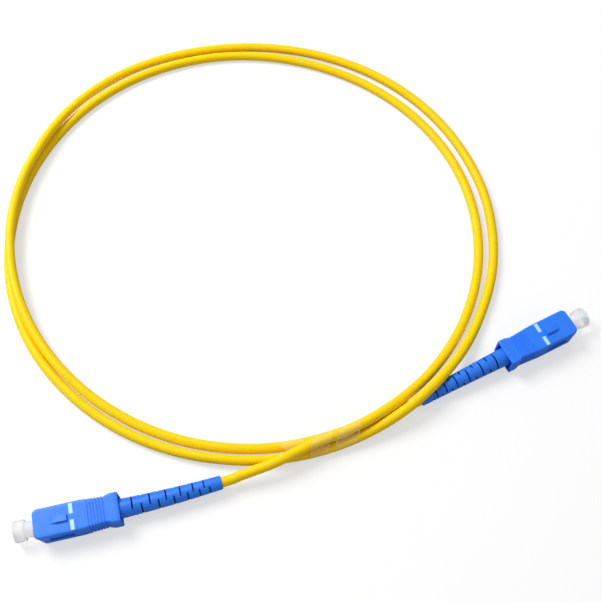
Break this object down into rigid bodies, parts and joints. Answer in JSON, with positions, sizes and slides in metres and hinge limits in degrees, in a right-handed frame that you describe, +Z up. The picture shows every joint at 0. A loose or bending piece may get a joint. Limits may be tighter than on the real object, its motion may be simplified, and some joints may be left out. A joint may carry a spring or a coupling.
{
  "type": "fiber optic patch cord",
  "caption": "Simplex fibre patch cord: yellow 3 mm cable wound in a two-turn ring, blue push-pull plugs with 2.5 mm ferrules, slotted boots and clear dust caps.",
  "frame": {"origin": "floor level, at the middle of the box round the two plugs with their boots and caps", "axes": "+Z up; +X runs from plug a on the left to plug b on the right; +Y points away from the viewer, towards the ring of cable"},
  "size_m": [0.1969, 0.1922, 0.0082],
  "materials": {
    "grip_plastic": "satin moulded blue plastic",
    "frame_plastic": "satin moulded blue plastic",
    "cap_plastic": "frosted clear soft plastic",
    "zirconia": "polished white ceramic",
    "plated_metal": "nickel-plated brass",
    "spring_steel": "drawn spring wire",
    "crimp_brass": "crimped brass",
    "aramid": "laid aramid yarn",
    "buffer_plastic": "white tight buffer",
    "boot_rubber": "satin soft blue plastic",
    "cable_jacket": "satin yellow cable jacket",
    "film": "clear wrapping film"
  },
  "bodies": {
    "root": {"plug_frame_a": "frame_plastic", "ferrule_spring_a": "spring_steel", "stop_ring_a": "plated_metal", "aramid_yarn_a": "aramid", "crimp_sleeve_a": "crimp_brass", "boot_a": "boot_rubber", "jacket_end_a": "cable_jacket", "plug_frame_b": "frame_plastic", "ferrule_spring_b": "spring_steel", "stop_ring_b": "plated_metal", "aramid_yarn_b": "aramid", "crimp_sleeve_b": "crimp_brass", "boot_b": "boot_rubber", "jacket_end_b": "cable_jacket", "cable_coil": "cable_jacket", "cable_lead_a": "cable_jacket", "cable_lead_b": "cable_jacket", "film_band_1": "film", "film_band_2": "film", "film_band_3": "film"},
    "grip_a": {"grip_housing_a": "grip_plastic"},
    "ferrule_unit_a": {"ferrule_a": "zirconia", "ferrule_flange_a": "plated_metal", "fibre_buffer_a": "buffer_plastic"},
    "cap_a": {"dust_cap_a": "cap_plastic"},
    "grip_b": {"grip_housing_b": "grip_plastic"},
    "ferrule_unit_b": {"ferrule_b": "zirconia", "ferrule_flange_b": "plated_metal", "fibre_buffer_b": "buffer_plastic"},
    "cap_b": {"dust_cap_b": "cap_plastic"}
  },
  "joints": [
    {"name": "grip_slide_a", "type": "slide", "parent": "root", "child": "grip_a", "axis": [0.9725, 0.2331, 0], "range_m": [0, 0.002]},
    {"name": "ferrule_slide_a", "type": "slide", "parent": "root", "child": "ferrule_unit_a", "axis": [0.9725, 0.2331, 0], "range_m": [0, 0.0015], "stiffness_N_per_m": 100, "deforming": ["ferrule_spring_a"]},
    {"name": "cap_pull_a", "type": "slide", "parent": "root", "child": "cap_a", "axis": [-0.9725, -0.2331, 0], "range_m": [0, 0.014]},
    {"name": "grip_slide_b", "type": "slide", "parent": "root", "child": "grip_b", "axis": [-0.8847, -0.4662, 0], "range_m": [0, 0.002]},
    {"name": "ferrule_slide_b", "type": "slide", "parent": "root", "child": "ferrule_unit_b", "axis": [-0.8847, -0.4662, 0], "range_m": [0, 0.0015], "stiffness_N_per_m": 100, "deforming": ["ferrule_spring_b"]},
    {"name": "cap_pull_b", "type": "slide", "parent": "root", "child": "cap_b", "axis": [0.8847, 0.4662, 0], "range_m": [0, 0.014]}
  ]
}
